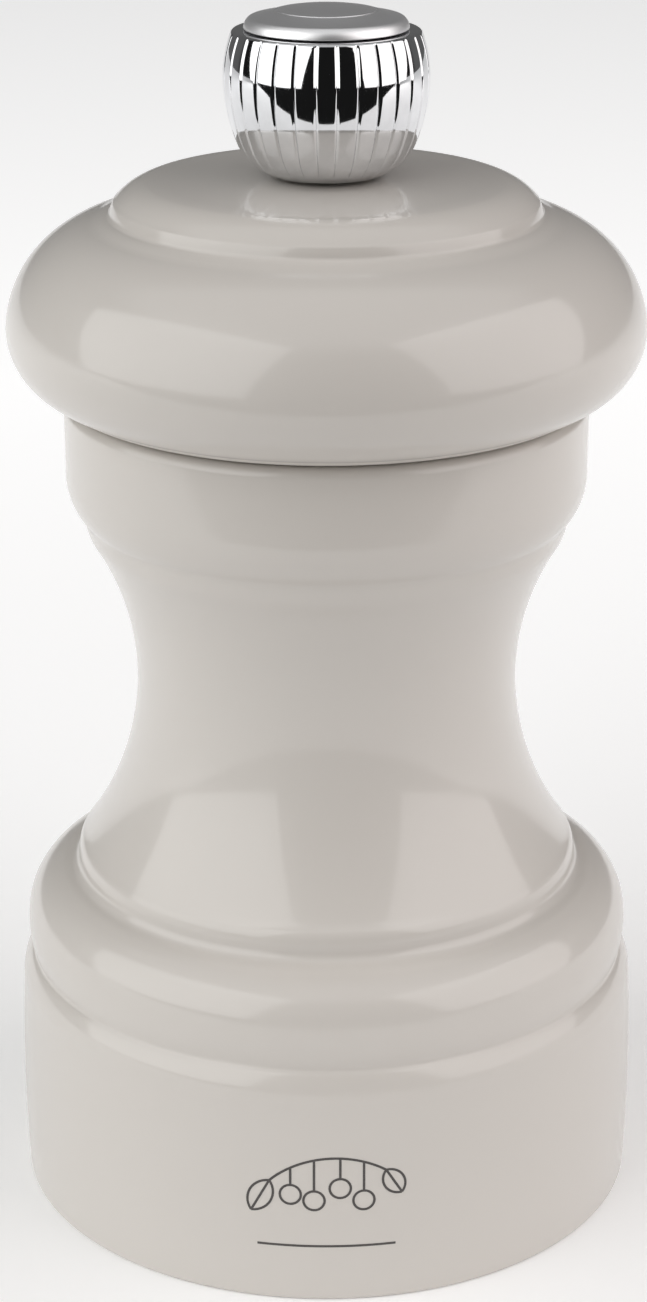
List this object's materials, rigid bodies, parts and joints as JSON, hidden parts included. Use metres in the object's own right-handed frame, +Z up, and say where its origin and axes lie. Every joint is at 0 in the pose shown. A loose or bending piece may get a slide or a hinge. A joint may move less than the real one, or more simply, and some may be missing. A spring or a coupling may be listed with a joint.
{
  "type": "pepper mill",
  "caption": "Small turned table pepper mill in lacquered wood with a fluted chrome adjusting knob and a steel burr mechanism.",
  "frame": {"origin": "centre of the base, on the table", "axes": "+Z up along the axis that the mill was turned on; the front faces -Y"},
  "size_m": [0.0526, 0.0526, 0.1005],
  "materials": {
    "lacquered_wood": "high-gloss opaque lacquer over turned beech",
    "polished_chrome": "polished",
    "satin_chrome": "satin",
    "plain_steel": "stamped and zinc plated",
    "hardened_steel": "case hardened, dark",
    "spring_steel": "drawn wire",
    "aluminium": "drawn",
    "brass": "machined",
    "nylon": "moulded"
  },
  "bodies": {
    "base": {"body": "lacquered_wood", "mechanism_housing": "plain_steel", "mechanism_screw_1": "plain_steel", "mechanism_screw_2": "plain_steel", "mechanism_screw_3": "plain_steel", "burr_ring": "hardened_steel", "bridge": "plain_steel", "bush": "nylon"},
    "rotor": {"thrust_washer": "plain_steel"},
    "shaft_unit": {"shaft": "aluminium", "shaft_washer": "plain_steel", "shaft_circlip": "hardened_steel", "burr_cone": "hardened_steel", "spring": "spring_steel"},
    "head_unit": {"head": "lacquered_wood", "drive_plate": "plain_steel", "drive_plate_screw_1": "plain_steel", "drive_plate_screw_2": "plain_steel"},
    "knob_seat": {"knob_washer": "nylon"},
    "knob_unit": {"knob": "polished_chrome", "knob_cap": "satin_chrome", "knob_insert": "brass"}
  },
  "joints": [
    {"name": "head_turn", "type": "hinge", "parent": "base", "child": "rotor", "pos_m": [0, 0, 0.0278], "axis": [0, 0, 1], "continuous": true},
    {"name": "shaft_lift", "type": "slide", "parent": "rotor", "child": "shaft_unit", "axis": [0, 0, 1], "range_m": [-0.001, 0.0006], "deforming": ["spring"]},
    {"name": "head_lift", "type": "slide", "parent": "rotor", "child": "head_unit", "axis": [0, 0, 1], "range_m": [0, 0.06]},
    {"name": "knob_lift", "type": "slide", "parent": "head_unit", "child": "knob_seat", "axis": [0, 0, 1], "range_m": [0, 0.022]},
    {"name": "knob_turn", "type": "hinge", "parent": "knob_seat", "child": "knob_unit", "pos_m": [0, 0, 0.0872], "axis": [0, 0, 1], "range_deg": [-270.5, 450.5]}
  ],
  "couplings": [
    {"joint": "knob_turn", "follows": "shaft_lift", "rad_per_m": -7854}
  ]
}
